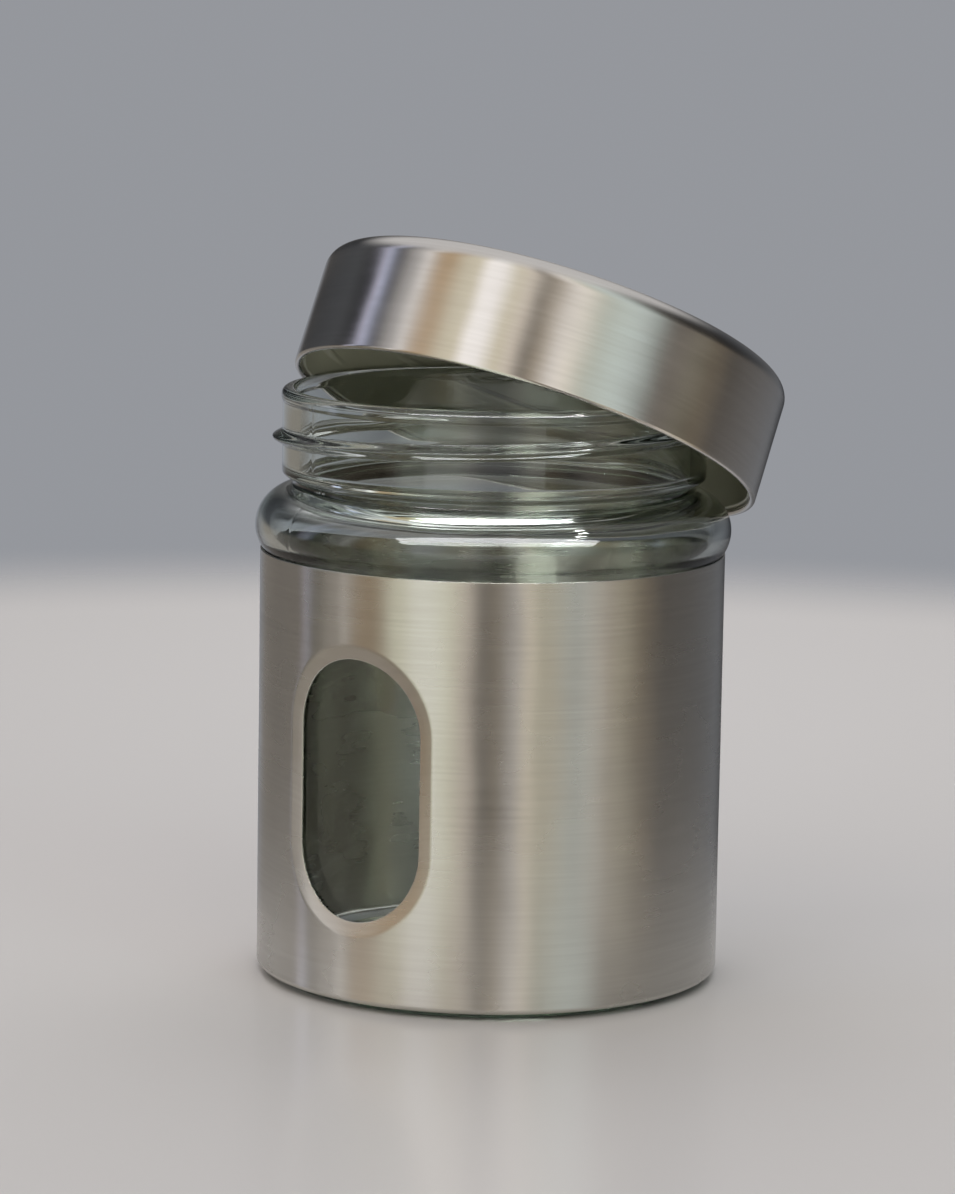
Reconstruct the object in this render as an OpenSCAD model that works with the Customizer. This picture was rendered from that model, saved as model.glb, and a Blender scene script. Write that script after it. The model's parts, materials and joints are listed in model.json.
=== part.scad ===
// Glass storage jar in a brushed steel sleeve with an oval viewing window.
// Its screw lid has been taken off and leans on the open mouth.
// Millimetres, +Z up, origin at the centre of the base on the jar's axis,
// window facing -Y. Lid shapes are drawn level, with the lid's bottom edge
// at z = 0, and on_mouth() leans them on the rim.

/* [Jar] */
// Outer radius of the glass body inside the sleeve
body_r = 46.2; // [45.6:0.1:46.4]
// Thickness of the glass wall
wall_t = 3.2; // [2.6:0.1:3.4]
// Thickness of the glass floor above the resting ring
floor_t = 4.6; // [4:0.1:6]
// Rise of the hollow underside at its centre
punt_h = 1.8; // [1:0.1:2.4]
// Radius of the rounded heel
heel_r = 2.2; // [1.5:0.1:3]
// Largest radius of the shoulder bulge
bulge_r = 48.9; // [48.4:0.1:49.2]
// Height of the widest point of the bulge
bulge_z = 92.9; // [92:0.1:94]
// Radius of the bulge's round section
bulge_arc_r = 8; // [7.5:0.1:8.4]
// Radius of the narrow groove between bulge and neck
groove_r = 41; // [40.5:0.1:41.5]
// Outer radius of the neck
neck_r = 43.5; // [43:0.1:43.6]
// Height of the neck's lower step
step_z = 103.6; // [103:0.1:104.5]
// Height of the rim above the table
rim_z = 121.2; // [120.5:0.1:122]
// Rounding of the rim
rim_round = 1.5; // [1:0.1:1.5]
// How far the bead below the rim stands proud of the neck
bead_h = 0.25; // [0.1:0.05:0.4]

/* [Thread] */
// Rise of the right-hand thread in one turn
thread_lead = 8.5; // [7:0.1:9]
// Height of the jar's ridge above the neck
ridge_h = 2.1; // [1.5:0.1:2.3]
// Width of the jar's ridge at its root
ridge_w = 3; // [2.4:0.1:3.4]
// Height of the ridge's crest halfway along the turn
ridge_mid_z = 113.1; // [112.5:0.1:113.5]
// Direction of the ridge's halfway point, from +X
ridge_mid_deg = -56; // [-90:1:0]

/* [Sleeve] */
// Outer radius of the steel sleeve
sleeve_r = 47.75; // [47.6:0.05:48]
// Thickness of the sleeve's sheet
sleeve_t = 0.45; // [0.4:0.05:0.5]
// Height of the sleeve's lower edge
sleeve_low_z = 1.3; // [1:0.1:2]
// Height of the sleeve's upper edge
sleeve_top_z = 88.15; // [87:0.05:88.4]
// Radius of the lower edge where it curls in round the heel
curl_r = 1.2; // [1:0.1:1.3]

/* [Window] */
// Width of the window opening
window_w = 30; // [26:0.5:32]
// Height of the window opening
window_h = 53; // [48:1:58]
// Height of the window's centre
window_z = 44.4; // [42:0.1:46]
// Width of the pressed border round the opening
border_w = 2.9; // [2:0.1:3]
// Depth to which the border is pressed in
border_d = 0.75; // [0.5:0.05:0.8]

/* [Lid] */
// Outer radius of the lid
lid_r = 49.6; // [49.4:0.1:50]
// Height of the lid
lid_h = 25.5; // [25:0.1:26.5]
// Thickness of the lid's steel sheet
shell_t = 0.45; // [0.4:0.05:0.5]
// Rounding between the lid's top and its side
corner_r = 4; // [3:0.1:5]
// Half the thickness of the folded hem at the lid's lower edge
hem_r = 0.65; // [0.5:0.05:0.7]
// Thickness of the plastic liner's side wall
liner_t = 1.6; // [1.4:0.1:1.8]
// Thickness of the liner's ceiling
ceiling_t = 1.2; // [1:0.1:1.4]
// How far the liner's thread stands in from its wall
lug_h = 2.5; // [2.2:0.1:2.7]
// Width of the liner's thread at its root
lug_w = 3; // [2.4:0.1:3.4]
// Thickness of the sealing ring
seal_t = 1; // [0.8:0.1:1.4]
// Inner radius of the sealing ring
seal_r = 39.2; // [38.6:0.1:39.8]

/* [Lean] */
// Tilt of the resting lid
lean_deg = 24.66; // [24.4:0.02:25]
// Direction of the lid's low side, from +X
lean_dir = 83.5; // [0:0.5:180]
// Distance from the jar's axis to the centre of the lid's lower edge
lean_shift = 8.96; // [8.8:0.02:9.1]
// Clearance between the resting lid and the rim
rest_gap = 0.35; // [0.3:0.05:0.5]

/* [Hidden] */
$fn = 96;

// Glass outline
resting_r = body_r - heel_r;
punt_r = resting_r - 5;
inner_r = body_r - wall_t;
neck_in_r = neck_r - wall_t + 0.1;
groove_in_r = groove_r - wall_t + 0.8;
bulge_c_r = bulge_r - bulge_arc_r;
bulge_low_deg = -38;
bulge_low_r = bulge_c_r + bulge_arc_r * cos(bulge_low_deg);
bulge_low_z = bulge_z + bulge_arc_r * sin(bulge_low_deg);
bulge_in_r = bulge_arc_r - wall_t;
bead_r = neck_r + bead_h;
rim_c_z = rim_z - rim_round;
rim_out_r = bead_r - rim_round;
rim_in_r = neck_in_r + rim_round;
inner_corner_r = 5;

// Thread sections
sink = 0.5;
turn_deg = 352;
rings = 56;
fade_deg = 40;

// Lid levels and radii in the lid's own frame
liner_gap = 0.05;
liner_r = lid_r - shell_t - liner_gap;
liner_in_r = liner_r - liner_t + 0.05;
hem_top = 2 * hem_r;
liner_low = hem_top + liner_gap;
ceiling_top = lid_h - shell_t - liner_gap;
ceiling = ceiling_top - ceiling_t;
liner_corner_r = corner_r - shell_t;
rib_t = 0.7;
seal_out_r = liner_in_r - 0.8;
lug_mid = 12.4;

// Height of the leaning lid's lower edge at its centre, from the ceiling
// resting on the low side of the rim
lean_z = rim_c_z + ((rim_out_r - lean_shift) * sin(lean_deg)
    - (ceiling - rim_round - rest_gap)) / cos(lean_deg);

// Points of an arc about c from angle a0 to a1
function arc(c, r, a0, a1, n = 8) =
    [for (i = [0:n]) c + r * [cos(a0 + (a1 - a0) * i / n), sin(a0 + (a1 - a0) * i / n)]];

function fade(a) = min(1, 0.05 + a / fade_deg);

// Ridge section as [height above the wall, distance along the axis]
function ridge_section(h, w) = [
    [-sink, -0.55 * w],
    [0.1 * h, -0.4 * w],
    [0.7 * h, -0.2 * w],
    [h, -0.07 * w],
    [h, 0.07 * w],
    [0.7 * h, 0.2 * w],
    [0.1 * h, 0.4 * w],
    [-sink, 0.55 * w]
];

// Helical ridge on a wall of radius r; side is 1 outwards and -1 inwards
module helix(r, side, h, w, mid_z, mid_deg) {
    section = ridge_section(h, w);
    n = len(section);
    points = [
        for (i = [0:rings])
            let (a = turn_deg * i / rings)
            let (f = min(fade(a), fade(turn_deg - a)))
            for (p = section)
                let (rad = r + side * ((p[0] + sink) * f - sink))
                let (dir = mid_deg - turn_deg / 2 + a)
                [
                    rad * cos(dir),
                    rad * sin(dir),
                    mid_z + thread_lead * (a / turn_deg - 0.5) * turn_deg / 360 + p[1] * (0.4 + 0.6 * f)
                ]
    ];
    sides = [
        for (i = [0:rings - 1], j = [0:n - 1])
            let (k = (j + 1) % n)
            let (quad = [i * n + j, i * n + k, (i + 1) * n + k, (i + 1) * n + j])
            for (t = [[0, 2, 1], [0, 3, 2]])
                side > 0 ? [quad[t[0]], quad[t[2]], quad[t[1]]] : [quad[t[0]], quad[t[1]], quad[t[2]]]
    ];
    first = [for (j = [0:n - 1]) j];
    last = [for (j = [0:n - 1]) rings * n + j];
    caps = [
        side > 0 ? first : reversed(first),
        side > 0 ? reversed(last) : last
    ];
    polyhedron(points, concat(sides, caps), convexity = 10);
}

function reversed(v) = [for (i = [len(v) - 1:-1:0]) v[i]];

// Outline of an upright oval with semicircular ends
module oval(w, h) {
    square([w, h - w], center = true);
    for (s = [-1, 1])
        translate([0, s * (h - w) / 2])
            circle(d = w);
}

// Solid that runs out through the front of the sleeve at the window
module window_block(grow) {
    translate([0, 0, window_z])
        rotate([90, 0, 0])
            linear_extrude(sleeve_r + 5)
                oval(window_w + 2 * grow, window_h + 2 * grow);
}

module tube(r_out, r_in, z0, z1) {
    translate([0, 0, z0])
        difference() {
            cylinder(r = r_out, h = z1 - z0);
            translate([0, 0, -1])
                cylinder(r = r_in, h = z1 - z0 + 2);
        }
}

// Places a level lid shape so that it leans on the mouth
module on_mouth() {
    translate([lean_shift * cos(lean_dir), lean_shift * sin(lean_dir), lean_z])
        rotate([0, 0, lean_dir])
            rotate([0, lean_deg, 0])
                rotate([0, 0, -lean_dir])
                    children();
}

module glass_profile() {
    outside = concat(
        [[0, punt_h], [punt_r - 8, punt_h], [punt_r, 0]],
        arc([resting_r, heel_r], heel_r, -90, 0),
        [[body_r, bulge_low_z - 3]],
        arc([bulge_c_r, bulge_z], bulge_arc_r, bulge_low_deg, 84, 14),
        [
            [groove_r, bulge_z + bulge_arc_r + 0.5],
            [groove_r, step_z - 1],
            [neck_r - 0.6, step_z - 0.2],
            [neck_r, step_z + 0.6],
            [neck_r, rim_c_z - 1.4],
            [bead_r, rim_c_z - 0.6]
        ],
        arc([rim_out_r, rim_c_z], rim_round, 0, 90, 6)
    );
    inside = concat(
        arc([rim_in_r, rim_c_z], rim_round, 90, 180, 6),
        [
            [neck_in_r, step_z + 0.8],
            [groove_in_r, step_z - 1.6],
            [groove_in_r, bulge_z + bulge_in_r + 3.4]
        ],
        arc([bulge_c_r, bulge_z], bulge_in_r, 80, -60, 12),
        [[inner_r, bulge_low_z - 6]],
        arc([inner_r - inner_corner_r, floor_t + inner_corner_r], inner_corner_r, 0, -90),
        [[0, floor_t]]
    );
    polygon(concat(outside, inside));
}

module glass_jar() {
    color("lightcyan", 0.4) {
        rotate_extrude()
            glass_profile();
        helix(neck_r, 1, ridge_h, ridge_w, ridge_mid_z, ridge_mid_deg);
    }
}

module sleeve_profile() {
    curl_c = [sleeve_r - curl_r, sleeve_low_z + curl_r];
    polygon(concat(
        arc(curl_c, curl_r, -90, 0),
        [
            [sleeve_r, sleeve_top_z],
            [sleeve_r - sleeve_t, sleeve_top_z]
        ],
        arc(curl_c, curl_r - sleeve_t, 0, -90)
    ));
}

module steel_sleeve() {
    frame_r = sleeve_r - border_d;
    color("silver") {
        difference() {
            rotate_extrude()
                sleeve_profile();
            window_block(border_w - sleeve_t);
        }
        difference() {
            intersection() {
                union() {
                    tube(frame_r, frame_r - sleeve_t, sleeve_low_z + 5, sleeve_top_z - 5);
                    difference() {
                        tube(sleeve_r, frame_r - sleeve_t, sleeve_low_z + 5, sleeve_top_z - 5);
                        window_block(border_w - sleeve_t);
                    }
                }
                window_block(border_w);
            }
            window_block(0);
        }
    }
}

module lid_shell() {
    color("gainsboro")
        on_mouth()
            rotate_extrude()
                polygon(concat(
                    [[0, lid_h]],
                    arc([lid_r - corner_r, lid_h - corner_r], corner_r, 90, 0),
                    arc([lid_r - hem_r, hem_r], hem_r, 0, -180),
                    [
                        [lid_r - 2 * hem_r, hem_top],
                        [lid_r - shell_t, hem_top]
                    ],
                    arc([lid_r - corner_r, lid_h - corner_r], corner_r - shell_t, 0, 90),
                    [[0, lid_h - shell_t]]
                ));
}

module liner_profile() {
    polygon(concat(
        [[0, ceiling_top]],
        arc([liner_r - liner_corner_r, ceiling_top - liner_corner_r], liner_corner_r, 90, 0),
        [
            [liner_r, liner_low],
            [liner_in_r, liner_low],
            [liner_in_r, ceiling],
            [seal_r - 0.1, ceiling],
            [seal_r - 0.1, ceiling - 0.8 * seal_t],
            [seal_r - 0.1 - rib_t, ceiling - 0.8 * seal_t],
            [seal_r - 0.1 - rib_t, ceiling],
            [0, ceiling]
        ]
    ));
}

module lid_liner() {
    color("dimgray")
        on_mouth() {
            rotate_extrude()
                liner_profile();
            helix(liner_in_r, -1, lug_h, lug_w, lug_mid, 0);
        }
}

module lid_seal() {
    color("whitesmoke")
        on_mouth()
            translate([0, 0, ceiling - seal_t])
                difference() {
                    cylinder(r = seal_out_r, h = seal_t);
                    translate([0, 0, -1])
                        cylinder(r = seal_r, h = seal_t + 2);
                }
}

glass_jar();
steel_sleeve();
lid_shell();
lid_liner();
lid_seal();
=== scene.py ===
import json
import math

import bpy
import numpy as np
from mathutils import Matrix, Vector


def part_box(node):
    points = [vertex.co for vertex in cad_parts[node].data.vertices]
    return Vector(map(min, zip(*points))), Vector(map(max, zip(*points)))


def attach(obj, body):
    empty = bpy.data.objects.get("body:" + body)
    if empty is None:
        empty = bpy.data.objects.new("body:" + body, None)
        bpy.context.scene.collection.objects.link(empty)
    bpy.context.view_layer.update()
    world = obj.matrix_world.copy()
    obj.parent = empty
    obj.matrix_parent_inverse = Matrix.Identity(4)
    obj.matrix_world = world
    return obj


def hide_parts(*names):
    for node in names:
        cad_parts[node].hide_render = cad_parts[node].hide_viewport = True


# Looks of a glass storage jar in a brushed steel sleeve, with its screw lid
# leaning on the mouth. Outlines are pairs (r, z) in millimetres, meshes are in
# metres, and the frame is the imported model's: +Z up, window towards -Y.

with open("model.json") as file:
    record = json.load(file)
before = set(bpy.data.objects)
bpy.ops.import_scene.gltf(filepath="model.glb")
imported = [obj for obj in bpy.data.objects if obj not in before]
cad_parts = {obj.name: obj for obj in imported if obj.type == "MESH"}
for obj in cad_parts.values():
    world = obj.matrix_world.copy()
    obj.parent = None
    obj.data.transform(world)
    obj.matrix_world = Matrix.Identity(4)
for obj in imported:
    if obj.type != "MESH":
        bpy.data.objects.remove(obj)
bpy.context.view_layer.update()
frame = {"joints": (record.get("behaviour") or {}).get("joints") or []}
joints = {j["name"]: j for j in frame["joints"]}
MM = 0.001

# ---------------------------------------------------------------- dimensions


def millimetres(node):
    """A node's lowest and highest corner at rest, in millimetres."""
    low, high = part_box(node)
    return np.array(low) / MM, np.array(high) / MM


glass_low, glass_high = millimetres("glass_jar")
sleeve_low, sleeve_high = millimetres("steel_sleeve")

# Glass, from its box and its wall
RIM_Z = glass_high[2]
BULGE_R = -glass_low[0]
SLEEVE_R = sleeve_high[0]
SLEEVE_BOTTOM = sleeve_low[2]
SLEEVE_TOP = sleeve_high[2]
WALL = 3.2
BODY_R = SLEEVE_R - 1.55
INNER_R = BODY_R - WALL
FLOOR = 4.6
PUNT = 1.8
HEEL = 2.2
BULGE_ARC = 8.0
BULGE_C = (BULGE_R - BULGE_ARC, SLEEVE_TOP + 4.75)
BULGE_INNER_ARC = BULGE_ARC - WALL
GROOVE_R = 41.0
GROOVE_IN_R = 38.6
NECK_R = 43.5
NECK_IN_R = 40.4
BEAD = 0.25
STEP_Z = RIM_Z - 17.6
RIM_ROUND = 1.5

# Threads: both are right-handed with the same lead
LEAD = 8.5
TURN = 352.0
FADE = 40.0
JAR_THREAD = {"height": 2.1, "half": 1.65, "z": RIM_Z - 8.1, "middle": -56.0}
LID_THREAD = {"height": 2.5, "half": 1.65, "z": 12.4, "middle": 0.0}
MOULD_SEAMS = (-112.0, 68.0)
SEAM_W = 0.6
SEAM_H = 0.02

# Sleeve. WINDOW_ROOM is the patch's room round the opening, and WINDOW_REACH the
# half angle, in degrees, over which the sheet has closer columns.
SHEET = 0.45
CURL = 1.2
WINDOW_W = 30.0
WINDOW_H = 53.0
WINDOW_Z = 44.4
WINDOW_FACING = -90.0
BORDER_W = 2.9
BORDER_D = 0.75
CREASE = 0.45
CUT_ROUND = 0.16
WINDOW_ROOM = 5.2
WINDOW_REACH = 25.5
WELD_FACING = 90.0
WELD_W = 0.45
WELD_DEPTH = 0.06

# Lid, in its own level frame with its lower edge at z = 0. The ejector marks are
# shallow discs in the liner's ceiling.
LID_R = 49.6
LID_H = 25.5
CORNER = 4.0
HEM = 0.65
LINER_R = LID_R - SHEET - 0.05
LINER_IN_R = LINER_R - 1.55
LINER_LOW = 2 * HEM + 0.05
LINER_TOP = LID_H - SHEET - 0.05
CEILING = LINER_TOP - 1.2
SEAL_R = 39.2
SEAL_OUT_R = LINER_IN_R - 0.8
SEAL_T = 1.0
RIB = 0.7
EJECTORS = (20, 110, 200, 290)
EJECTOR_AT = 31.0
EJECTOR_R = 3.2
EJECTOR_DEPTH = 0.12


def lid_place():
    """The leaning lid's frame: the turning joint's point and axis."""
    joint = joints["lid_turn"]
    turn = Vector((0, 0, 1)).rotation_difference(Vector(joint["axis"]))
    return Matrix.Translation(joint["pos_m"]) @ turn.to_matrix().to_4x4()


# ------------------------------------------------------------------ outlines
# A run is (points, normals) along one smooth stretch. Outlines keep the
# material on their left, so a run's normal is on its right.


def line(start, end, step):
    start, end = np.array(start, float), np.array(end, float)
    length = np.linalg.norm(end - start)
    t = np.linspace(0, 1, max(1, math.ceil(length / step)) + 1)[:, None]
    along = (end - start) / length
    normals = np.tile([along[1], -along[0]], (len(t), 1))
    return start * (1 - t) + end * t, normals


def arc(centre, radius, start, end, step=6.0):
    """Runs counter-clockwise where end is more than start; angles in degrees."""
    steps = max(2, math.ceil(abs(end - start) / step))
    a = np.radians(np.linspace(start, end, steps + 1))
    out = np.stack([np.cos(a), np.sin(a)], 1)
    return np.array(centre) + radius * out, out * (1 if end > start else -1)


def corner(before, at, after, radius):
    """The arc that rounds the corner at a point between two others."""
    at = np.array(at, float)
    back = np.array(before, float) - at
    on = np.array(after, float) - at
    back /= np.linalg.norm(back)
    on /= np.linalg.norm(on)
    half = math.acos(np.clip(back @ on, -1, 1)) / 2
    middle = (back + on) / np.linalg.norm(back + on)
    centre = at + middle * radius / math.sin(half)
    first, last = (at + v * radius / math.tan(half) - centre for v in (back, on))
    start = math.degrees(math.atan2(first[1], first[0]))
    sweep = math.degrees(math.atan2(last[1], last[0])) - start
    sweep = (sweep + 180) % 360 - 180
    return arc(centre, radius, start, start + sweep)


def outline(*items, step=3.0):
    """Joins corners (r, z) or (r, z, rounding) and ready runs into runs."""
    ends = [(i[0][0], i[0][-1]) if is_run(i) else (i[:2], i[:2]) for i in items]
    runs = []
    last = ends[0][1]
    if is_run(items[0]):
        runs.append(items[0])
    for k in range(1, len(items)):
        item = items[k]
        if is_run(item):
            piece = item
        elif len(item) > 2 and k + 1 < len(items):
            piece = corner(last, item[:2], ends[k + 1][0], item[2])
        else:
            piece = None
        target = item[:2] if piece is None else piece[0][0]
        if np.linalg.norm(np.array(target) - np.array(last)) > 1e-4:
            runs.append(line(last, target, step))
        if piece is not None:
            runs.append(piece)
        last = target if piece is None else piece[0][-1]
    return runs


def is_run(item):
    return isinstance(item[0], np.ndarray)


# -------------------------------------------------------------------- meshes


def around(count, finer=(), reach=1.2, spacing=0.12):
    """Angles in degrees round a turned piece, closer together near some."""
    angles = list(np.arange(count) * 360.0 / count - 180.0)
    for a in finer:
        angles += list(np.arange(a - reach, a + reach, spacing))
    angles = np.unique(np.round(angles, 4))
    return angles[np.append(True, np.diff(angles) > 0.05)]


def displaced(points, normals, angles, shape):
    """A run turned round Z, pushed out along its normals by shape(angle, r, z, nr)."""
    a = np.radians(angles)[None, :]
    r, z = points[:, :1], points[:, 1:]
    nr, nz = normals[:, :1], normals[:, 1:]
    d = np.zeros((len(points), len(angles)))
    slope_along, slope_round = d, d
    if shape is not None:
        h = 0.02
        deg = np.broadcast_to(angles[None, :], d.shape)
        turn = np.degrees(h / np.maximum(r, 1.0))
        d = shape(deg, r, z, nr)
        up = shape(deg, r - nz * h, z + nr * h, nr)
        down = shape(deg, r + nz * h, z - nr * h, nr)
        slope_along = (up - down) / (2 * h)
        slope_round = (shape(deg + turn, r, z, nr) - shape(deg - turn, r, z, nr)) / (2 * h)
    rr = r + d * nr
    place = np.stack([rr * np.cos(a), rr * np.sin(a), z + d * nz + 0 * a], -1)
    out_r = nr + slope_along * nz
    out_z = nz - slope_along * nr
    out_t = -slope_round
    facing = np.stack(
        [
            out_r * np.cos(a) - out_t * np.sin(a),
            out_r * np.sin(a) + out_t * np.cos(a),
            out_z + 0 * a,
        ],
        -1,
    )
    return place, facing / np.linalg.norm(facing, axis=-1, keepdims=True)


def turned(runs, angles, shape=None):
    """Turns an outline round Z. Returns its points, its quads as arrays of
    point, normal and UV per corner, and the number of each ring's first point."""
    n = len(angles)
    closed = np.linalg.norm(runs[0][0][0] - runs[-1][0][-1]) < 1e-6
    points, rings, faces = [], [], []
    length = 0.0
    ring = 0
    total = sum(len(p) - 1 for p, _ in runs) + (0 if closed else 1)
    for run, (outline_points, outline_normals) in enumerate(runs):
        place, facing = displaced(outline_points, outline_normals, angles, shape)
        gaps = np.linalg.norm(np.diff(outline_points, axis=0), axis=1)
        v = length + np.append(0, np.cumsum(gaps))
        length = v[-1]
        for i in range(0 if run == 0 else 1, len(place)):
            if closed and run == len(runs) - 1 and i == len(place) - 1:
                break
            rings.append(len(points))
            pole = outline_points[i][0] < 1e-6
            points.extend([place[i][0]] if pole else place[i])
        for i in range(len(place) - 1):
            low, high = ring + i, (ring + i + 1) % total
            faces.append((low, high, facing[i], facing[i + 1], v[i], v[i + 1], run))
        ring += len(place) - 1
    points = np.array(points)
    sizes = np.diff(np.append(rings, len(points)))
    corners = []
    k = np.arange(n)
    k1 = (k + 1) % n
    u = np.radians(np.append(angles, angles[0] + 360)) * max(p[:, 0].max() for p, _ in runs)
    for low, high, n_low, n_high, v_low, v_high, run in faces:
        a = rings[low] + (k if sizes[low] > 1 else 0 * k)
        b = rings[low] + (k1 if sizes[low] > 1 else 0 * k)
        c = rings[high] + (k1 if sizes[high] > 1 else 0 * k)
        d = rings[high] + (k if sizes[high] > 1 else 0 * k)
        ids = np.stack([a, b, c, d], 1)
        normals = np.stack([n_low[k], n_low[k1], n_high[k1], n_high[k]], 1)
        uv = np.stack(
            [
                np.stack([u[:-1], 0 * k + v_low], 1),
                np.stack([u[1:], 0 * k + v_low], 1),
                np.stack([u[1:], 0 * k + v_high], 1),
                np.stack([u[:-1], 0 * k + v_high], 1),
            ],
            1,
        )
        corners.append((ids, normals, uv, run))
    return points, corners, rings


def build(name, points, corners, pose=None):
    """Makes the mesh object. A quad whose corners meet at a pole becomes a
    triangle. pose leans the mesh, and leaves the object at the origin."""
    ids = np.concatenate([c[0] for c in corners])
    normals = np.concatenate([c[1] for c in corners])
    uvs = np.concatenate([c[2] for c in corners])
    keep = ids != np.roll(ids, -1, axis=1)
    counts = keep.sum(1)
    mesh = bpy.data.meshes.new(name)
    mesh.vertices.add(len(points))
    mesh.vertices.foreach_set("co", (points * MM).ravel())
    mesh.loops.add(int(counts.sum()))
    mesh.loops.foreach_set("vertex_index", ids[keep])
    mesh.polygons.add(len(ids))
    mesh.polygons.foreach_set("loop_start", np.cumsum(counts) - counts)
    mesh.update(calc_edges=True)
    mesh.polygons.foreach_set("use_smooth", np.ones(len(ids), bool))
    layer = mesh.uv_layers.new(name="UVMap")
    layer.data.foreach_set("uv", (uvs[keep] * MM).ravel())
    normals = normals[keep]
    if pose is not None:
        mesh.transform(pose)
        normals = normals @ np.array(pose.to_3x3()).T
    mesh.normals_split_custom_set(normals.tolist())
    mesh.update()
    piece = bpy.data.objects.new(name, mesh)
    bpy.context.scene.collection.objects.link(piece)
    return piece


def lathe(name, runs, angles, shape=None, pose=None):
    points, corners, _ = turned(runs, angles, shape)
    return build(name, points, corners, pose)


# -------------------------------------------------------------- shape detail


def smooth(x):
    x = np.clip(x, 0, 1)
    return x * x * (3 - 2 * x)


def off_angle(degrees, other):
    """Signed difference of two directions, in degrees."""
    return (degrees - other + 180) % 360 - 180


def ridge_along(degrees, r, facing, width):
    """A soft upright ridge of height 1 that faces one way."""
    return np.exp(-((np.radians(off_angle(degrees, facing)) * r / width) ** 2))


def thread(degrees, z, form):
    """Height of a one-turn screw ridge that fades out at both ends."""
    travel = (degrees - form["middle"] + 180) % 360
    ends = smooth(np.minimum(travel, TURN - travel) / FADE)
    centre = form["z"] + LEAD * (travel - 180) / 360
    x = np.clip((z - centre) / (form["half"] * (0.5 + 0.5 * ends)), -1, 1)
    return form["height"] * ends * (1 - x * x) ** 2


def ripple(degrees, z, waves):
    """Slow unevenness: a sum of (height, times round, per millimetre up, phase)."""
    a = np.radians(degrees)
    return sum(h * np.sin(times * a + up * z + phase) for h, times, up, phase in waves)


OUTER_WAVES = ((0.035, 3, 0.05, 0.4), (0.02, 5, -0.08, 2.1), (0.012, 9, 0.11, 4.0))
INNER_WAVES = (
    (0.1, 2, 0.04, 1.3), (0.06, 5, -0.05, 0.2), (0.03, 8, 0.08, 3.1), (0.012, 13, 0.12, 5.0),
)
SLEEVE_WAVES = (
    (0.03, 3, 0.03, 0.9), (0.012, 11, 0.09, 2.0), (0.009, 17, -0.13, 4.4), (0.006, 29, 0.21, 1.0),
)
LID_WAVES = ((0.012, 4, 0.1, 0.3), (0.006, 13, -0.3, 2.2), (0.004, 27, 0.4, 5.1))


def glass_shape(degrees, r, z, nr):
    """Thread, mould seams and unevenness of the pressed glass."""
    outside = (nr > 0) & (r > GROOVE_R - 1)
    inside = (nr < 0) & (z > FLOOR)
    neck = (z > STEP_Z + 1) & (z < RIM_Z - 3) & outside
    swell = np.where(neck, thread(degrees, z, JAR_THREAD), 0)
    seam = sum(ridge_along(degrees, r, a, SEAM_W) for a in MOULD_SEAMS)
    fade = smooth((z - 1) / 4) * smooth((RIM_Z - 0.6 - z) / 1.5)
    outer = ripple(degrees, z, OUTER_WAVES) + SEAM_H * seam
    inner = ripple(degrees, z, INNER_WAVES)
    inner_fade = smooth((z - FLOOR - 1) / 6) * smooth((RIM_Z - z) / 4)
    return swell + np.where(outside, outer * fade, 0) + np.where(inside, inner * inner_fade, 0)


def sleeve_swell(degrees, z):
    """How far the sleeve's sheet lies outside its true cylinder."""
    weld = ridge_along(degrees, SLEEVE_R, WELD_FACING, WELD_W)
    fade = smooth((z - SLEEVE_BOTTOM - 1) / 8) * smooth((SLEEVE_TOP - z + 3) / 8)
    return ripple(degrees, z, SLEEVE_WAVES) * fade - WELD_DEPTH * weld


def sleeve_shape(degrees, r, z, nr):
    return sleeve_swell(degrees, z) * nr


def lid_shape(degrees, r, z, nr):
    side = smooth((z - 2) / 4) * smooth((LID_H - CORNER - z) / 4)
    return ripple(degrees, z, LID_WAVES) * side * nr


def liner_shape(degrees, r, z, nr):
    """The lid's inner thread, and shallow ejector marks in the ceiling."""
    wall = (nr < -0.5) & (r > SEAL_OUT_R)
    ridge = np.where(wall, thread(degrees, z, LID_THREAD), 0)
    marks = 0.0
    for facing in EJECTORS:
        a = np.radians(off_angle(degrees, facing))
        spot = np.hypot(r * np.cos(a) - EJECTOR_AT, r * np.sin(a))
        marks = marks - EJECTOR_DEPTH * smooth((EJECTOR_R - spot) / 0.5)
    under = (np.abs(z - CEILING) < 0.1) & (np.abs(nr) < 0.1)
    return ridge + np.where(under, marks, 0)


# -------------------------------------------------------------------- pieces


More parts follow.
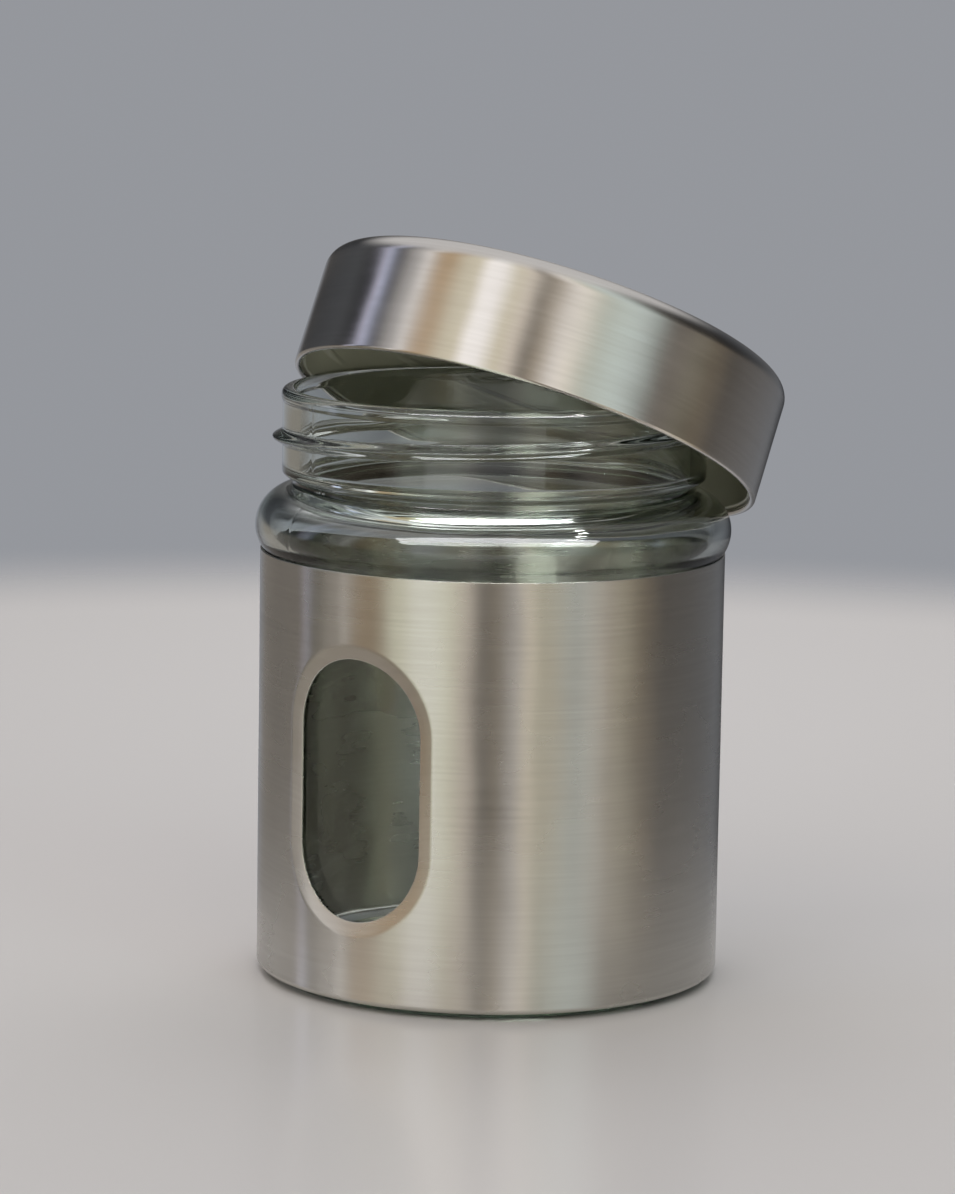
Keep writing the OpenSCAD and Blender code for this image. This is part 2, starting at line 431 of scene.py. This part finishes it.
def make_glass():
    """Blown jar: hollow underside, heel, bulge, groove, threaded neck, rim."""
    bulge = arc(BULGE_C, BULGE_ARC, -38, 75, 4)
    inner_bulge = arc(BULGE_C, BULGE_INNER_ARC, 80, -35, 5)
    low = outline(
        (0, PUNT), (30, PUNT, 6), (38.5, 0, 2), (BODY_R, 0, HEEL),
        (BODY_R, SLEEVE_TOP - 3.2, 2), bulge,
        (GROOVE_R, BULGE_C[1] + 8.26, 1.0), (GROOVE_R, STEP_Z - 1, 0.7),
        (NECK_R, STEP_Z, 0.9), (NECK_R, STEP_Z + 1.2), step=2.0,
    )
    neck = outline((NECK_R, STEP_Z + 1.2), (NECK_R, RIM_Z - 3.2), step=0.2)
    high = outline(
        (NECK_R, RIM_Z - 3.2), (NECK_R, RIM_Z - 2.7, 0.8), (NECK_R + BEAD, RIM_Z - 2.2, 0.8),
        (NECK_R + BEAD, RIM_Z, RIM_ROUND), (NECK_IN_R, RIM_Z, RIM_ROUND),
        (NECK_IN_R, STEP_Z + 1.2, 3), (GROOVE_IN_R, STEP_Z - 1.6, 3),
        (GROOVE_IN_R, BULGE_C[1] + 5.3, 1.8), inner_bulge,
        (INNER_R, BULGE_C[1] - 5.4, 6), (INNER_R, FLOOR, 1.5), (0, FLOOR), step=2.0,
    )
    runs = low + neck + high
    return lathe("jar_glass", runs, around(360, MOULD_SEAMS), glass_shape)


def sleeve_runs():
    """The sleeve's sheet: curled lower edge, wall, cut upper edge and back."""
    curl_at = (SLEEVE_R - CURL, SLEEVE_BOTTOM + CURL)
    cut = 0.12
    top = SLEEVE_TOP
    inner = SLEEVE_R - SHEET
    outer_curl = arc(curl_at, CURL, -90, 0)
    inner_curl = arc(curl_at, CURL - SHEET, 0, -90)
    wall_levels = (SLEEVE_R, top - cut)
    return (
        [outer_curl]
        + outline((SLEEVE_R, curl_at[1]), wall_levels, step=1.0)
        + outline(wall_levels, (SLEEVE_R - cut, top), (inner + cut, top), (inner, top - cut), step=1.0)
        + outline((inner, top - cut), (inner, curl_at[1]), step=1.0)
        + [inner_curl]
        + outline(tuple(inner_curl[0][-1]), tuple(outer_curl[0][0]), step=1.0)
    )


OUTER_WALL_RUN = 1
INNER_WALL_RUN = 5


def border_depth(d):
    """Depth of the pressed border and its slope, d outwards from the opening."""
    slope = BORDER_D / BORDER_W
    t = BORDER_W - d
    depth = np.where(t > CREASE, slope * t, slope * np.maximum(t + CREASE, 0) ** 2 / (4 * CREASE))
    fall = np.where(t > CREASE, -slope, -slope * np.maximum(t + CREASE, 0) / (2 * CREASE))
    return depth, fall


def border_ring(spine, along, d, sunk=0.0, facing_in=0.0):
    """One ring of the border, sunk below the outside by that much. facing_in is
    0 on the outside, 90 degrees on the cut edge and 180 on the inside."""
    s = spine[:, 0] + along[:, 0] * (WINDOW_W / 2 + d)
    z = spine[:, 1] + along[:, 1] * (WINDOW_W / 2 + d)
    degrees = WINDOW_FACING + np.degrees(s / SLEEVE_R)
    a = np.radians(degrees)
    h = 0.05
    turn = np.degrees(h / SLEEVE_R)
    round_slope = (sleeve_swell(degrees + turn, z) - sleeve_swell(degrees - turn, z)) / (2 * h)
    up_slope = (sleeve_swell(degrees, z + h) - sleeve_swell(degrees, z - h)) / (2 * h)
    depth, fall = border_depth(d)
    r = SLEEVE_R + sleeve_swell(degrees, z) - depth
    radial = np.stack([np.cos(a), np.sin(a), 0 * a], 1)
    tangent = np.stack([-np.sin(a), np.cos(a), 0 * a], 1)
    upward = np.array([0.0, 0.0, 1.0])
    fall = np.broadcast_to(fall, a.shape)
    tilt_s = (fall * along[:, 0] - round_slope)[:, None]
    tilt_z = (fall * along[:, 1] - up_slope)[:, None]
    normal = radial + tilt_s * tangent + tilt_z * upward
    normal /= np.linalg.norm(normal, axis=1, keepdims=True)
    outward = along[:, :1] * tangent + along[:, 1:] * upward
    outward -= (outward * normal).sum(1, keepdims=True) * normal
    outward /= np.linalg.norm(outward, axis=1, keepdims=True)
    place = r[:, None] * radial + np.stack([0 * z, 0 * z, z], 1) - sunk * normal
    turned_in = math.radians(facing_in)
    facing = math.cos(turned_in) * normal - math.sin(turned_in) * outward
    return place, facing, np.stack([np.radians(degrees) * SLEEVE_R, z - SLEEVE_BOTTOM], 1)


def wall_rings(runs):
    """The first and last ring of the window's rectangle, for each wall."""
    walls = []
    ring = 0
    for run, (outline_points, _) in enumerate(runs):
        if run in (OUTER_WALL_RUN, INNER_WALL_RUN):
            off = np.abs(outline_points[:, 1] - WINDOW_Z)
            rows = np.where(off < WINDOW_H / 2 + WINDOW_ROOM)[0]
            walls.append((ring + rows[0], ring + rows[-1]))
        ring += len(outline_points) - 1
    return walls


def without_window(corners, walls, first, last):
    """The sleeve's quads, less those inside the window's rectangle."""
    kept = []
    for ring, (ids, normals, uv, run) in enumerate(corners):
        stay = np.ones(len(ids), bool)
        if any(low <= ring < high for low, high in walls):
            stay[first:last] = False
        kept.append((ids[stay], normals[stay], uv[stay], run))
    return kept


def rectangle_loop(points, rings, wall, first, last):
    """The numbers of the points round one wall's rectangle."""
    low, high = wall
    up = 1 if points[rings[high]][2] > points[rings[low]][2] else -1
    bottom, top = (low, high) if up > 0 else (high, low)
    ids = [rings[bottom] + k for k in range(first, last)]
    ids += [rings[j] + last for j in range(bottom, top, up)]
    ids += [rings[top] + k for k in range(last, first, -1)]
    ids += [rings[j] + first for j in range(top, bottom, -up)]
    return np.array(ids)


def border_rings(edge):
    """Rings from the rectangle's edge in to the opening, round the cut edge and
    back out behind. They spread out from the oval's straight spine."""
    s = (np.arctan2(edge[:, 1], edge[:, 0]) - math.radians(WINDOW_FACING)) * SLEEVE_R
    straight = (WINDOW_H - WINDOW_W) / 2
    middle = np.clip(edge[:, 2], WINDOW_Z - straight, WINDOW_Z + straight)
    spine = np.stack([0 * s, middle], 1)
    away = np.stack([s, edge[:, 2]], 1) - spine
    reach = np.linalg.norm(away, axis=1)
    along = away / reach[:, None]
    room = reach - WINDOW_W / 2
    border = BORDER_W + CREASE
    steps = [border + (room - border) * f for f in (0.7, 0.35, 0.0)]
    creases = np.linspace(border, BORDER_W - CREASE, 9)[1:]
    lands = np.linspace(BORDER_W - CREASE, CUT_ROUND, 6)[1:]
    steps += [room * 0 + d for d in np.append(creases, lands)]
    across = [border_ring(spine, along, d) for d in [room] + steps]
    for facing_in in (30, 60, 90):
        t = math.radians(facing_in)
        d = CUT_ROUND * (1 - math.sin(t))
        sunk = CUT_ROUND * (1 - math.cos(t))
        across.append(border_ring(spine, along, room * 0 + d, sunk, facing_in))
    across.append(border_ring(spine, along, room * 0, SHEET - 0.05, 90))
    across += [border_ring(spine, along, d, SHEET, 180) for d in reversed([room] + steps)]
    return across


def window_patch(points, corners, rings, runs, angles):
    """Cuts the window's rectangle out of both walls and fills it with rings
    that follow the oval opening, its pressed border and its cut edge."""
    s = np.radians(angles - WINDOW_FACING) * SLEEVE_R
    columns = np.where(np.abs(s) < WINDOW_W / 2 + WINDOW_ROOM)[0]
    first, last = columns[0], columns[-1]
    walls = wall_rings(runs)
    kept = without_window(corners, walls, first, last)
    outer, inner = (rectangle_loop(points, rings, wall, first, last) for wall in walls)
    across = border_rings(points[outer])
    count = len(outer)
    ids_of = [outer]
    for place, _, _ in across[1:-1]:
        ids_of.append(np.arange(count) + len(points))
        points = np.concatenate([points, place])
    ids_of.append(inner)
    after = (np.arange(count) + 1) % count
    for j in range(len(across) - 1):
        _, facing, uv = across[j]
        _, next_facing, next_uv = across[j + 1]
        ids = np.stack([ids_of[j], ids_of[j][after], ids_of[j + 1][after], ids_of[j + 1]], 1)
        normals = np.stack([facing, facing[after], next_facing[after], next_facing], 1)
        uvs = np.stack([uv, uv[after], next_uv[after], next_uv], 1)
        kept.append((ids, normals, uvs, -1))
    return points, kept


def make_sleeve():
    """Brushed steel tube with the oval window and its pressed border."""
    runs = sleeve_runs()
    fine = WINDOW_FACING + np.arange(-WINDOW_REACH, WINDOW_REACH + 0.1, 0.75)
    angles = np.unique(np.round(np.concatenate([around(300, (WELD_FACING,)), fine]), 3))
    angles = angles[np.append(True, np.diff(angles) > 0.05)]
    points, corners, rings = turned(runs, angles, sleeve_shape)
    points, corners = window_patch(points, corners, rings, runs, angles)
    return build("sleeve", points, corners)


def make_lid_shell(pose):
    """Drawn cap: flat top, rounded corner, straight side, folded hem."""
    inner_r = LID_R - SHEET
    crown = 0.12
    runs = outline(
        (0, LID_H - SHEET), (inner_r, LID_H - SHEET, CORNER - SHEET), (inner_r, 2 * HEM + 0.1, 0.15),
        (inner_r - 0.15, 2 * HEM - 0.15, 0.15), (LID_R - 2 * HEM + 0.2, 2 * HEM, 0.2),
        (LID_R - 2 * HEM, 2 * HEM - 0.3), arc((LID_R - HEM, HEM), HEM, 180, 360, 10),
        (LID_R, LID_H - crown, CORNER), (0, LID_H), step=1.0,
    )
    return lathe("lid_cap", runs, around(360), lid_shape, pose)


def make_liner(pose):
    """Moulded cup inside the cap, with the lid's thread and a rib for the seal."""
    rib_in, rib_out = SEAL_R - 0.1 - RIB, SEAL_R - 0.1
    low = CEILING - 0.8 * SEAL_T
    ceiling = outline(
        (0, CEILING), (rib_in, CEILING, 0.2), (rib_in, low, 0.2), (rib_out, low, 0.2),
        (rib_out, CEILING, 0.1), (LINER_IN_R, CEILING, 0.4), (LINER_IN_R, CEILING - 1.5), step=0.6,
    )
    wall = outline((LINER_IN_R, CEILING - 1.5), (LINER_IN_R, LINER_LOW + 1), step=0.25)
    rest = outline(
        (LINER_IN_R, LINER_LOW + 1), (LINER_IN_R, LINER_LOW, 0.4), (LINER_R, LINER_LOW, 0.3),
        (LINER_R, LINER_TOP, CORNER - SHEET), (0, LINER_TOP), step=3.0,
    )
    return lathe("lid_liner_cup", ceiling + wall + rest, around(360), liner_shape, pose)


def make_seal(pose):
    """Flat ring with rounded edges and the faint groove that the rim presses in."""
    low, high = CEILING - SEAL_T, CEILING
    groove = (NECK_R + NECK_IN_R) / 2
    start = (SEAL_OUT_R, (low + high) / 2)
    runs = outline(
        start, (SEAL_OUT_R, high, 0.25), (SEAL_R, high, 0.25), (SEAL_R, low, 0.25),
        (groove - 1.9, low, 0.6), (groove - 1.2, low + 0.2, 0.6), (groove + 1.2, low + 0.2, 0.6),
        (groove + 1.9, low, 0.6), (SEAL_OUT_R, low, 0.25), start, step=1.0,
    )
    return lathe("lid_seal_ring", runs, around(240), None, pose)


# ----------------------------------------------------------------- materials


def node(tree, kind, inputs=None, **settings):
    """Adds a shader node. An input is a number, a colour or another node's output."""
    made = tree.nodes.new("ShaderNode" + kind)
    for key, value in settings.items():
        setattr(made, key, value)
    for key, value in (inputs or {}).items():
        if isinstance(value, bpy.types.NodeSocket):
            tree.links.new(value, made.inputs[key])
        else:
            made.inputs[key].default_value = value
    return made


def maths(tree, operation, *values):
    made = node(tree, "Math", dict(enumerate(values)), operation=operation)
    return made.outputs[0]


def noise(tree, place, scale, detail=2.0):
    made = node(tree, "TexNoise", {"Vector": place, "Scale": scale, "Detail": detail})
    return made.outputs["Fac"]


def spread(tree, value, low, high, source=(0.3, 0.7)):
    """Maps a noise value onto a range."""
    made = node(
        tree, "MapRange",
        {"Value": value, "From Min": source[0], "From Max": source[1], "To Min": low, "To Max": high},
    )
    return made.outputs[0]


def soft_step(tree, value, start, end, height=1.0):
    """Rises smoothly from 0 to a height as a value goes from start to end."""
    made = node(
        tree, "MapRange",
        {"Value": value, "From Min": start, "From Max": end, "To Max": height},
        interpolation_type="SMOOTHSTEP",
    )
    return made.outputs[0]


def blend_colours(tree, factor, first, second):
    made = node(tree, "Mix", data_type="RGBA")
    tree.links.new(factor, made.inputs[0])
    made.inputs[6].default_value = (*first, 1)
    made.inputs[7].default_value = (*second, 1)
    return made.outputs[2]


def new_material(name, **sockets):
    """A Principled material whose constant sockets are set directly."""
    material = bpy.data.materials.new(name)
    material.use_nodes = True
    tree = material.node_tree
    shader = tree.nodes["Principled BSDF"]
    for key, value in sockets.items():
        shader.inputs[key.replace("_", " ")].default_value = value
    return material, tree, shader


def stretched(tree, place, around_scale, across_scale):
    """Coordinates drawn out round the axis, so that noise in them runs round
    the side and in circles on a flat top."""
    split = node(tree, "SeparateXYZ", {"Vector": place})
    flat = node(tree, "CombineXYZ", {"X": split.outputs[0], "Y": split.outputs[1]})
    radius = node(tree, "VectorMath", {0: flat.outputs[0]}, operation="LENGTH").outputs["Value"]
    across = maths(tree, "SUBTRACT", split.outputs[2], radius)
    made = node(
        tree, "CombineXYZ",
        {
            "X": maths(tree, "MULTIPLY", split.outputs[0], around_scale),
            "Y": maths(tree, "MULTIPLY", split.outputs[1], around_scale),
            "Z": maths(tree, "MULTIPLY", across, across_scale),
        },
    )
    return made.outputs[0]


def own_place(tree, pose):
    """Coordinates in a piece's own level frame, whose place in the model is pose."""
    place = node(tree, "TexCoord").outputs["Object"]
    if pose is None:
        return place
    made = node(tree, "Mapping", {"Vector": place}, vector_type="TEXTURE")
    made.inputs["Location"].default_value = pose.to_translation()
    made.inputs["Rotation"].default_value = pose.to_euler()
    return made.outputs[0]


def brushed_steel(name, light, dark, roughness, grain=1.0, pose=None):
    """Stainless steel brushed round its axis, with the light drawn out across the grain."""
    material, tree, shader = new_material(
        name, Metallic=1.0, Anisotropic=1.0, Anisotropic_Rotation=0.25
    )
    place = own_place(tree, pose)
    fine = noise(tree, stretched(tree, place, 50, 1500), 1.0, 1.0)
    lines = noise(tree, stretched(tree, place, 16, 600), 1.0, 1.0)
    patches = noise(tree, place, 38, 2.0)
    tone = maths(tree, "MULTIPLY_ADD", fine, 0.4, maths(tree, "MULTIPLY", patches, 0.6))
    colour = blend_colours(tree, spread(tree, tone, 0, 1), dark, light)
    wear = maths(tree, "MULTIPLY_ADD", patches, 0.8, maths(tree, "MULTIPLY", lines, 0.2))
    gloss = spread(tree, wear, roughness - 0.05, roughness + 0.06)
    height = maths(tree, "MULTIPLY_ADD", fine, 0.25, maths(tree, "MULTIPLY", lines, 0.75))
    bump = node(tree, "Bump", {"Strength": 0.05 * grain, "Distance": 0.00004, "Height": height})
    tangent = node(tree, "Tangent", direction_type="UV_MAP", uv_map="UVMap")
    tree.links.new(colour, shader.inputs["Base Color"])
    tree.links.new(gloss, shader.inputs["Roughness"])
    tree.links.new(bump.outputs[0], shader.inputs["Normal"])
    tree.links.new(tangent.outputs[0], shader.inputs["Tangent"])
    return material


def clear_glass():
    """Soda glass with a faint green tint and a slightly uneven polish."""
    material, tree, shader = new_material(
        "clear_glass", Base_Color=(0.97, 0.99, 0.98, 1), IOR=1.52, Transmission_Weight=1.0
    )
    place = node(tree, "TexCoord").outputs["Object"]
    haze = spread(tree, noise(tree, place, 60, 2.0), 0.0, 0.012)
    tree.links.new(haze, shader.inputs["Roughness"])
    tint = node(tree, "VolumeAbsorption", {"Color": (0.36, 0.64, 0.42, 1), "Density": 14.0})
    output = tree.nodes["Material Output"]
    tree.links.new(tint.outputs[0], output.inputs["Volume"])
    return material


def moulded_plastic():
    """Dark olive-grey moulded plastic with a fine satin grain."""
    material, tree, shader = new_material("olive_plastic", IOR=1.5)
    place = node(tree, "TexCoord").outputs["Object"]
    cloud = noise(tree, place, 40, 3.0)
    grain = noise(tree, place, 900, 1.0)
    colour = blend_colours(tree, spread(tree, cloud, 0, 1), (0.27, 0.27, 0.195), (0.31, 0.31, 0.235))
    tree.links.new(colour, shader.inputs["Base Color"])
    tree.links.new(spread(tree, cloud, 0.3, 0.4), shader.inputs["Roughness"])
    bump = node(tree, "Bump", {"Strength": 0.15, "Distance": 0.00005, "Height": grain})
    tree.links.new(bump.outputs[0], shader.inputs["Normal"])
    return material


def seal_rubber():
    """Pale grey silicone with a dusty, soft skin."""
    material, tree, shader = new_material("pale_silicone", IOR=1.42, Sheen_Weight=0.15)
    place = node(tree, "TexCoord").outputs["Object"]
    dust = noise(tree, place, 300, 4.0)
    colour = blend_colours(tree, spread(tree, dust, 0, 1), (0.5, 0.5, 0.47), (0.58, 0.58, 0.55))
    tree.links.new(colour, shader.inputs["Base Color"])
    tree.links.new(spread(tree, dust, 0.5, 0.65), shader.inputs["Roughness"])
    bump = node(tree, "Bump", {"Strength": 0.2, "Distance": 0.00005, "Height": dust})
    tree.links.new(bump.outputs[0], shader.inputs["Normal"])
    return material


# --------------------------------------------------------------------- stage
# The photographer's side of the jar: the camera looks along AWAY, with SIDE
# to its right. Bearings round the jar are in degrees from the camera, + right.

BEARING = math.radians(35)
SIDE = Vector((math.cos(BEARING), math.sin(BEARING), 0))
AWAY = Vector((-math.sin(BEARING), math.cos(BEARING), 0))
UP = Vector((0, 0, 1))


def make_camera():
    """A long lens, almost a metre away and 223 mm up, looking slightly down."""
    distance, height = 0.935, 0.223
    pitch, yaw, roll = 0.1539, -0.0032, 0.0165
    level = math.cos(yaw) * AWAY + math.sin(yaw) * SIDE
    forward = math.cos(pitch) * level - math.sin(pitch) * UP
    side = math.cos(yaw) * SIDE - math.sin(yaw) * AWAY
    top = side.cross(forward)
    right = side * math.cos(roll) + top * math.sin(roll)
    upright = top * math.cos(roll) - side * math.sin(roll)
    data = bpy.data.cameras.new("camera")
    data.lens = 138.48
    data.sensor_width = 36.0
    camera = bpy.data.objects.new("camera", data)
    turn = Matrix((right, upright, -forward)).transposed().to_4x4()
    camera.matrix_world = Matrix.Translation(height * UP - distance * AWAY) @ turn
    bpy.context.scene.collection.objects.link(camera)
    bpy.context.scene.camera = camera


def table_lacquer(radius, edge):
    """Pale satin lacquer with a painted contact shadow, a dark disc under the jar's foot,
    that fades out from the edge to the radius. Reflections see little of it beyond a few centimetres."""
    material, tree, shader = new_material(
        "table_lacquer", Roughness=0.2, IOR=1.45, Specular_IOR_Level=0.25
    )
    place = node(tree, "TexCoord").outputs["Object"]
    distance = node(tree, "VectorMath", {0: place}, operation="LENGTH").outputs["Value"]
    # Painted contact shadow: the colour is near black within 40 mm of the middle, under the jar's
    # foot, and pale lacquer beyond 47 mm.
    clear_of_painted_shadow = spread(tree, distance, 0, 1, (0.04, 0.047))
    colour = blend_colours(tree, clear_of_painted_shadow, (0.06, 0.06, 0.055), (0.84, 0.82, 0.82))
    tree.links.new(colour, shader.inputs["Base Color"])
    fade = soft_step(tree, distance, edge, radius)
    far = soft_step(tree, distance, 0.048, 0.17, 0.88)
    reflected = maths(tree, "MULTIPLY", far, node(tree, "LightPath").outputs["Is Glossy Ray"])
    clear = node(tree, "BsdfTransparent")
    open_part = maths(tree, "MAXIMUM", fade, reflected)
    mixed = node(tree, "MixShader", {0: open_part, 1: shader.outputs[0], 2: clear.outputs[0]})
    tree.links.new(mixed.outputs[0], tree.nodes["Material Output"].inputs["Surface"])
    return material


def make_floor():
    """A round table top."""
    radius, edge = 0.62, 0.47
    count = 96
    a = np.arange(count) * 2 * math.pi / count
    points = [(radius * math.cos(t), radius * math.sin(t), 0.0) for t in a]
    mesh = bpy.data.meshes.new("table_top")
    mesh.from_pydata(points, [], [list(range(count))])
    floor = bpy.data.objects.new("table_top", mesh)
    bpy.context.scene.collection.objects.link(floor)
    mesh.materials.append(table_lacquer(radius, edge))
    return floor


# Tints of the studio's panels, each with an average of about 1
PLAIN = (1.02, 0.99, 0.99)
COOL = (0.93, 0.98, 1.09)
SKY = (0.82, 0.92, 1.27)
LAVENDER = (0.94, 0.91, 1.15)
AQUA = (0.91, 1.05, 1.04)
LEAF = (1.03, 1.07, 0.9)
WARM = (1.11, 1.0, 0.89)
CREAM = (1.13, 1.04, 0.83)
TAN = (1.22, 1.02, 0.76)
AMBER = (1.4, 1.0, 0.6)

# What the studio looks like from the jar, level with it and higher up: soft
# panels with dark gaps, each as (bearing from the camera, brightness, tint).
LOW_BANDS = (
    (-180, 0.11, COOL), (-168, 0.34, COOL), (-150, 0.21, WARM), (-130, 0.2, WARM),
    (-112, 0.25, WARM), (-104, 0.14, TAN), (-97, 0.21, CREAM), (-84, 0.2, TAN),
    (-62, 0.15, TAN), (-56, 0.31, CREAM), (-49, 0.75, LEAF), (-40, 0.78, LEAF),
    (-22, 0.86, LEAF), (-13, 0.48, WARM), (-6, 0.16, WARM), (5, 0.065, WARM),
    (12, 0.13, WARM), (19, 0.54, CREAM), (31, 0.44, TAN), (43, 0.31, WARM),
    (56, 0.65, WARM), (67, 0.56, CREAM), (80, 0.27, TAN), (94, 0.12, WARM),
    (150, 0.15, COOL), (166, 0.04, COOL), (180, 0.11, COOL),
)
HIGH_BANDS = (
    (-180, 0.16, PLAIN), (-165, 0.03, COOL), (-125, 0.09, COOL), (-109, 0.02, COOL),
    (-106, 0.85, LAVENDER), (-102, 0.83, SKY), (-99, 0.05, COOL), (-94, 0.05, WARM),
    (-87, 0.5, PLAIN), (-81, 0.48, PLAIN), (-77, 1.25, PLAIN), (-73, 0.52, WARM),
    (-69, 0.39, AMBER), (-62, 0.39, AMBER), (-53, 0.68, CREAM), (-45, 0.74, CREAM),
    (-38, 1.27, PLAIN), (-30, 1.2, PLAIN), (-20, 0.71, CREAM), (-12, 0.76, WARM),
    (-4, 0.14, WARM), (3, 0.37, TAN), (12, 1.06, PLAIN), (17, 1.15, WARM),
    (24, 0.53, LEAF), (39, 0.84, AQUA), (48, 0.79, AQUA), (60, 0.1, WARM),
    (80, 0.01, WARM), (110, 0.03, COOL), (150, 0.11, COOL), (180, 0.16, PLAIN),
)


def share_along(tree, direction, axis):
    made = node(tree, "VectorMath", {0: direction, 1: axis}, operation="DOT_PRODUCT")
    return made.outputs["Value"]


def band_colours(tree, factor, bands):
    """A colour ramp all the way round the jar, from its bands of light."""
    ramp = node(tree, "ValToRGB", {"Fac": factor})
    stops = ramp.color_ramp.elements
    stops[0].position, stops[1].position = 0.0, 1.0
    for bearing, _, _ in bands[1:-1]:
        stops.new((bearing + 180) / 360)
    for stop, (_, brightness, tint) in zip(stops, bands):
        stop.color = (*(brightness * part for part in tint), 1)
    return ramp.outputs[0]


def make_world():
    """Soft panels and dark gaps all round and a soft top light that leans away
    from the camera, seen only in reflections and through the glass. Behind the
    jar the camera sees a plain grey backdrop."""
    world = bpy.data.worlds.new("studio")
    world.use_nodes = True
    bpy.context.scene.world = world
    tree = world.node_tree
    place = node(tree, "TexCoord").outputs["Generated"]
    to_camera = share_along(tree, place, -AWAY)
    to_side = share_along(tree, place, SIDE)
    bearing = maths(tree, "ARCTAN2", to_side, to_camera)
    factor = spread(tree, bearing, 0, 1, (-math.pi, math.pi))
    height = node(tree, "SeparateXYZ", {"Vector": place}).outputs[2]
    low = band_colours(tree, factor, LOW_BANDS)
    high = band_colours(tree, factor, HIGH_BANDS)
    rise = soft_step(tree, height, -0.09, 0.04)
    ring = node(tree, "Mix", {0: rise}, data_type="RGBA")
    tree.links.new(low, ring.inputs[6])
    tree.links.new(high, ring.inputs[7])
    above = maths(tree, "MULTIPLY_ADD", to_camera, -0.35, height)
    top = soft_step(tree, above, 0.62, 0.86)
    lit = node(tree, "Mix", {0: top}, data_type="RGBA")
    tree.links.new(ring.outputs[2], lit.inputs[6])
    lit.inputs[7].default_value = (0.7, 0.69, 0.7, 1)
    seen = node(tree, "LightPath").outputs["Is Camera Ray"]
    final = node(tree, "Mix", {0: seen}, data_type="RGBA")
    tree.links.new(lit.outputs[2], final.inputs[6])
    final.inputs[7].default_value = (0.3, 0.31, 0.335, 1)
    background = tree.nodes["Background"]
    tree.links.new(final.outputs[2], background.inputs["Color"])


def make_light(name, bearing, rise, distance, size, radiance, only):
    """A soft panel at a bearing and a rise, both in degrees, seen from the jar's
    mouth. It lights one object only."""
    at = math.radians(bearing), math.radians(rise)
    level = math.cos(at[0]) * -AWAY + math.sin(at[0]) * SIDE
    towards = math.cos(at[1]) * level + math.sin(at[1]) * UP
    data = bpy.data.lights.new(name, "AREA")
    data.shape = "RECTANGLE"
    data.size, data.size_y = size
    data.energy = radiance * math.pi * size[0] * size[1]
    light = bpy.data.objects.new(name, data)
    light.location = RIM_Z * MM * UP + distance * towards
    light.rotation_mode = "QUATERNION"
    light.rotation_quaternion = (-towards).to_track_quat("-Z", "Y")
    light.visible_camera = False
    bpy.context.scene.collection.objects.link(light)
    group = bpy.data.collections.new(name + "_receivers")
    group.objects.link(only)
    light.light_linking.receiver_collection = group


def make_lights(glass, liner, floor):
    """Soft panels and a row of small lamps for the glass's highlights, a low
    fill that shows the inside of the lid, and one overhead for the table."""
    make_light("overhead", 180, 50, 0.7, (0.7, 0.7), 1.25, floor)
    make_light("fill", 18, -3, 1.2, (0.8, 0.3), 14.0, liner)
    make_light("front_panel", -5, -6, 1.2, (1.5, 0.42), 0.5, glass)
    make_light("strip", 3, 44, 1.2, (2.3, 0.3), 10.0, glass)
    for k in range(5):
        make_light(f"lamp_{k}", 36 + 10 * k, 34 + 7 * k, 1.3, (0.1, 0.05), 60.0, glass)


def set_render_look():
    scene = bpy.context.scene
    scene.view_settings.view_transform = "Standard"
    scene.cycles.max_bounces = 20
    scene.cycles.transmission_bounces = 18
    scene.cycles.glossy_bounces = 8
    scene.cycles.blur_glossy = 0.4


# ------------------------------------------------------------------- put together


def place_piece(piece, material, body, replaced):
    piece.data.materials.append(material)
    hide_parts(replaced)
    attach(piece, body)


def main():
    make_camera()
    set_render_look()
    sleeve_steel = brushed_steel("sleeve_steel", (0.68, 0.665, 0.62), (0.59, 0.57, 0.53), 0.27)
    lid = lid_place()
    lid_steel = brushed_steel("lid_steel", (0.72, 0.7, 0.67), (0.64, 0.62, 0.585), 0.19, 0.8, lid)
    glass = make_glass()
    place_piece(glass, clear_glass(), "jar", "glass_jar")
    place_piece(make_sleeve(), sleeve_steel, "jar", "steel_sleeve")
    place_piece(make_lid_shell(lid), lid_steel, "lid", "lid_shell")
    liner = make_liner(lid)
    place_piece(liner, moulded_plastic(), "lid", "lid_liner")
    place_piece(make_seal(lid), seal_rubber(), "seal", "lid_seal")
    make_world()
    make_lights(glass, liner, make_floor())


main()
bpy.context.view_layer.update()
